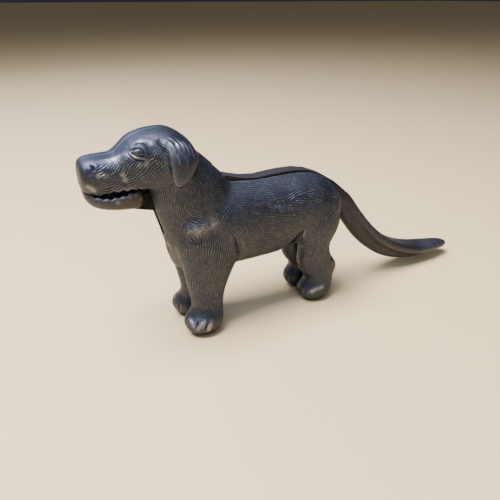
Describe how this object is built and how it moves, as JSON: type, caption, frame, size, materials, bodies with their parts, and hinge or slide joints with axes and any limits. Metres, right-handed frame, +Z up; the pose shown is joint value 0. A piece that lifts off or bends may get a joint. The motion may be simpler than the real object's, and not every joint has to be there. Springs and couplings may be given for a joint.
{
  "type": "dog nutcracker",
  "caption": "Cast iron nutcracker in the form of a standing dog: lifting the tail turns the lever inside the two body halves and opens the lower jaw.",
  "frame": {"origin": "on the ground, under the middle of the length and width", "axes": "the nose points along -X and the tail along +X, +Y is to the dog's right, +Z up"},
  "size_m": [0.2799, 0.0458, 0.1297],
  "materials": {
    "bronzed_cast_iron": "satin",
    "worn_lever_iron": "satin"
  },
  "bodies": {
    "dog_body": {"body_left": "bronzed_cast_iron", "body_right": "bronzed_cast_iron"},
    "lever": {"jaw_and_tail_lever": "worn_lever_iron"}
  },
  "joints": [
    {"name": "tail_lift", "type": "hinge", "parent": "dog_body", "child": "lever", "pos_m": [-0.07485, 0, 0.0882], "axis": [0, -1, 0], "range_deg": [0, 30]}
  ]
}
